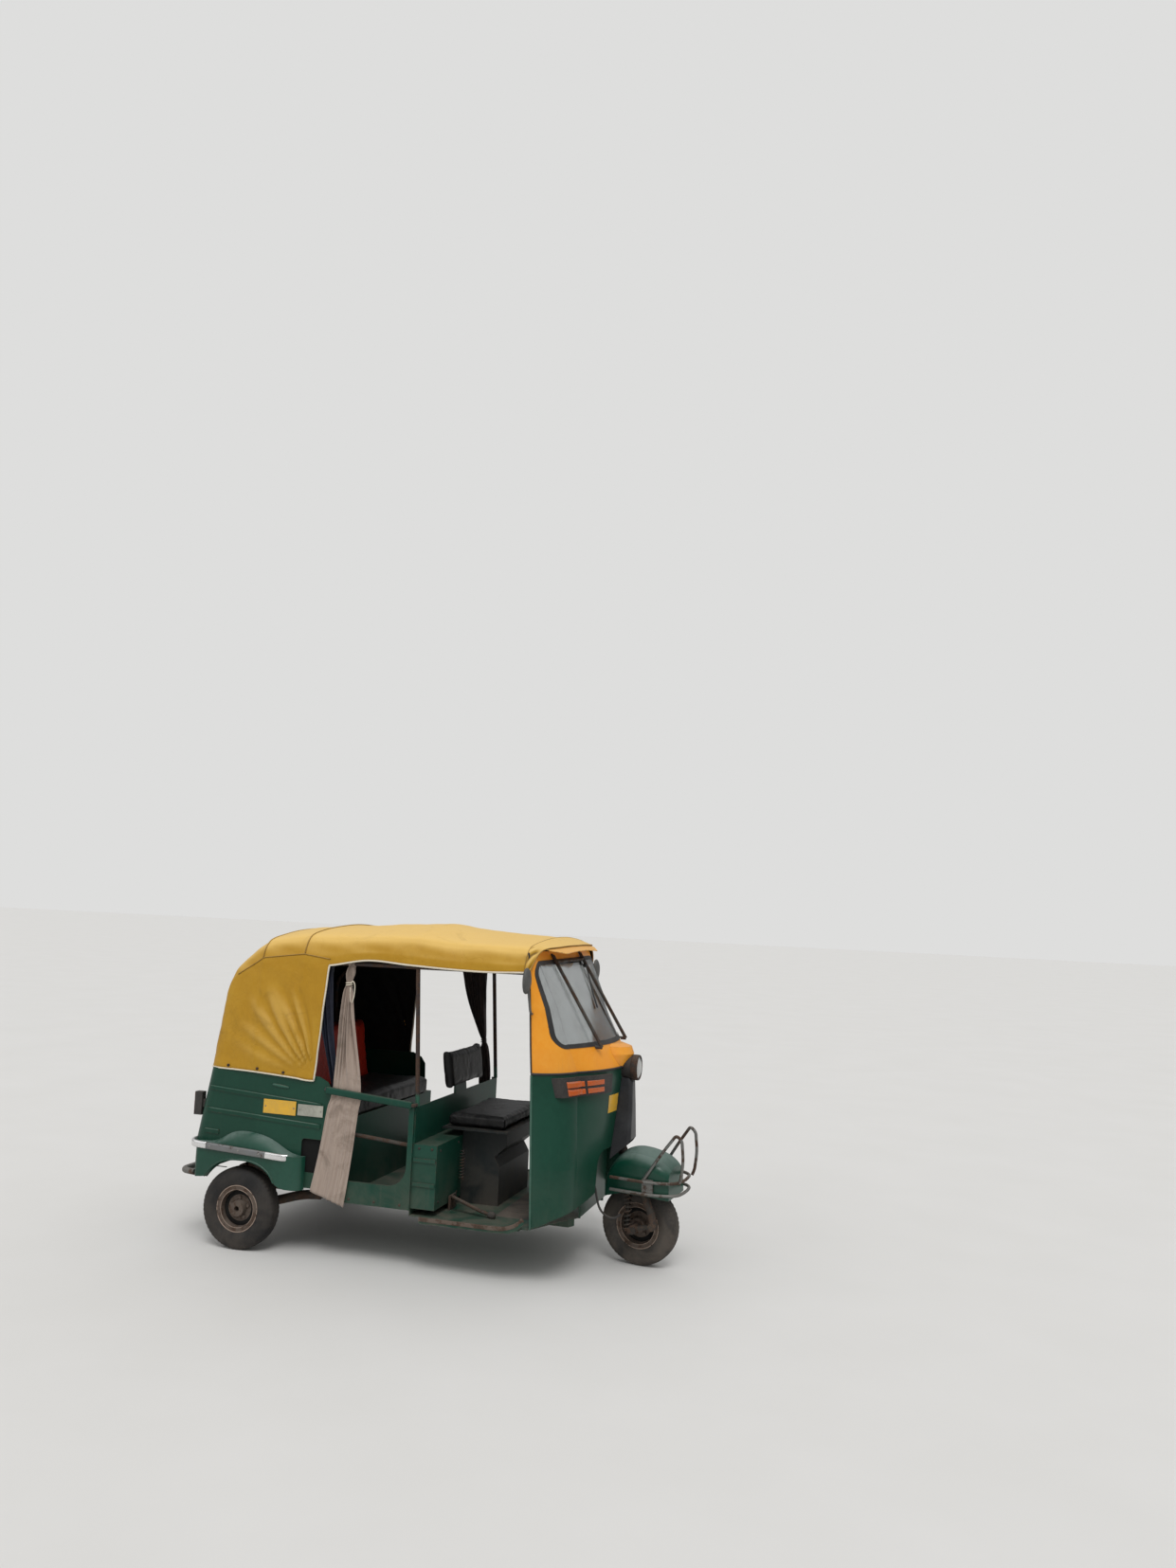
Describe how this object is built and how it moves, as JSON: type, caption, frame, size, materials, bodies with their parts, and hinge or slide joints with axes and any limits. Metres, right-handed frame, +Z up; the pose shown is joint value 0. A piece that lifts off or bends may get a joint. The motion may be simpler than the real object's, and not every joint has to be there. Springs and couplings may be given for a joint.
{
  "type": "auto rickshaw",
  "caption": "Three-wheeled auto rickshaw with a cloth canopy, open doorways, curtains, a steered front wheel and a rear engine lid.",
  "frame": {"origin": "on the ground, under the middle of the vehicle's length and width", "axes": "+X forward, +Y to the vehicle's left, +Z up"},
  "size_m": [2.6972, 1.364, 1.704],
  "materials": {
    "green_paint": "faded gloss, dusty and chipped",
    "yellow_paint": "faded gloss, dusty",
    "black_paint": "satin, dusty",
    "beige_paint": "dull, dirty",
    "worn_steel": "rusty in patches",
    "chrome": "pitted",
    "cast_metal": "oily",
    "tyre": "dusty",
    "rubber": "matt",
    "glass": "dusty",
    "lens": "clear gloss",
    "black_plastic": "grained",
    "canopy_cloth": "coated cloth, faded and creased",
    "red_vinyl": "worn",
    "black_vinyl": "worn",
    "navy_vinyl": "coated, creased",
    "beige_cloth": "coarse weave, dirty",
    "brown_cloth": "coarse weave"
  },
  "bodies": {
    "body": {"floor_pan": "green_paint", "front_shield": "green_paint", "nose_panel": "black_paint", "upper_cowl": "yellow_paint", "roof_visor": "yellow_paint", "windscreen": "glass", "screen_seal": "rubber", "screen_guard": "chrome", "dashboard": "black_plastic", "headlamp": "chrome", "turn_lamps": "lens", "mirrors": "black_plastic", "hoop_frame": "black_paint", "canopy": "canopy_cloth", "rear_tub": "green_paint", "rear_fenders": "green_paint", "rear_bumper": "worn_steel", "tail_lamps": "lens", "partition": "green_paint", "guard_rails": "green_paint", "passenger_seat": "black_vinyl", "passenger_backrest": "red_vinyl", "seat_base": "green_paint", "driver_seat": "black_vinyl", "driver_seat_box": "black_paint", "driver_backrest": "black_vinyl", "driver_controls": "worn_steel", "engine": "cast_metal", "exhaust": "worn_steel", "rear_arms": "black_paint", "rear_springs": "black_paint", "curtain_dark": "navy_vinyl", "curtain_beige": "beige_cloth", "curtain_brown": "brown_cloth", "brake_hose": "rubber"},
    "steering": {"steering_column": "black_paint", "handlebar": "black_paint", "front_fork": "green_paint", "front_spring": "black_paint", "front_mudguard": "green_paint", "front_guard": "worn_steel"},
    "front_wheel": {"front_tyre": "tyre", "front_rim": "beige_paint"},
    "rear_wheel_right": {"rear_tyre_right": "tyre", "rear_rim_right": "beige_paint"},
    "rear_wheel_left": {"rear_tyre_left": "tyre", "rear_rim_left": "beige_paint"},
    "engine_lid": {"engine_lid": "green_paint"}
  },
  "joints": [
    {"name": "steer", "type": "hinge", "parent": "body", "child": "steering", "pos_m": [0.8935, 0, 0.7], "axis": [-0.4067, 0, 0.9135], "range_deg": [-24, 46], "deforming": ["brake_hose"]},
    {"name": "front_wheel_spin", "type": "hinge", "parent": "steering", "child": "front_wheel", "pos_m": [1.05884, 0.00955, 0.20787], "axis": [0.1743, 0.9816, 0.0776], "continuous": true},
    {"name": "rear_right_spin", "type": "hinge", "parent": "body", "child": "rear_wheel_right", "pos_m": [-0.942, -0.575, 0.207], "axis": [0, 1, 0], "continuous": true},
    {"name": "rear_left_spin", "type": "hinge", "parent": "body", "child": "rear_wheel_left", "pos_m": [-0.942, 0.575, 0.207], "axis": [0, 1, 0], "continuous": true},
    {"name": "engine_lid_hinge", "type": "hinge", "parent": "body", "child": "engine_lid", "pos_m": [-1.21392, 0, 0.802], "axis": [0, 1, 0], "range_deg": [0, 80]}
  ]
}
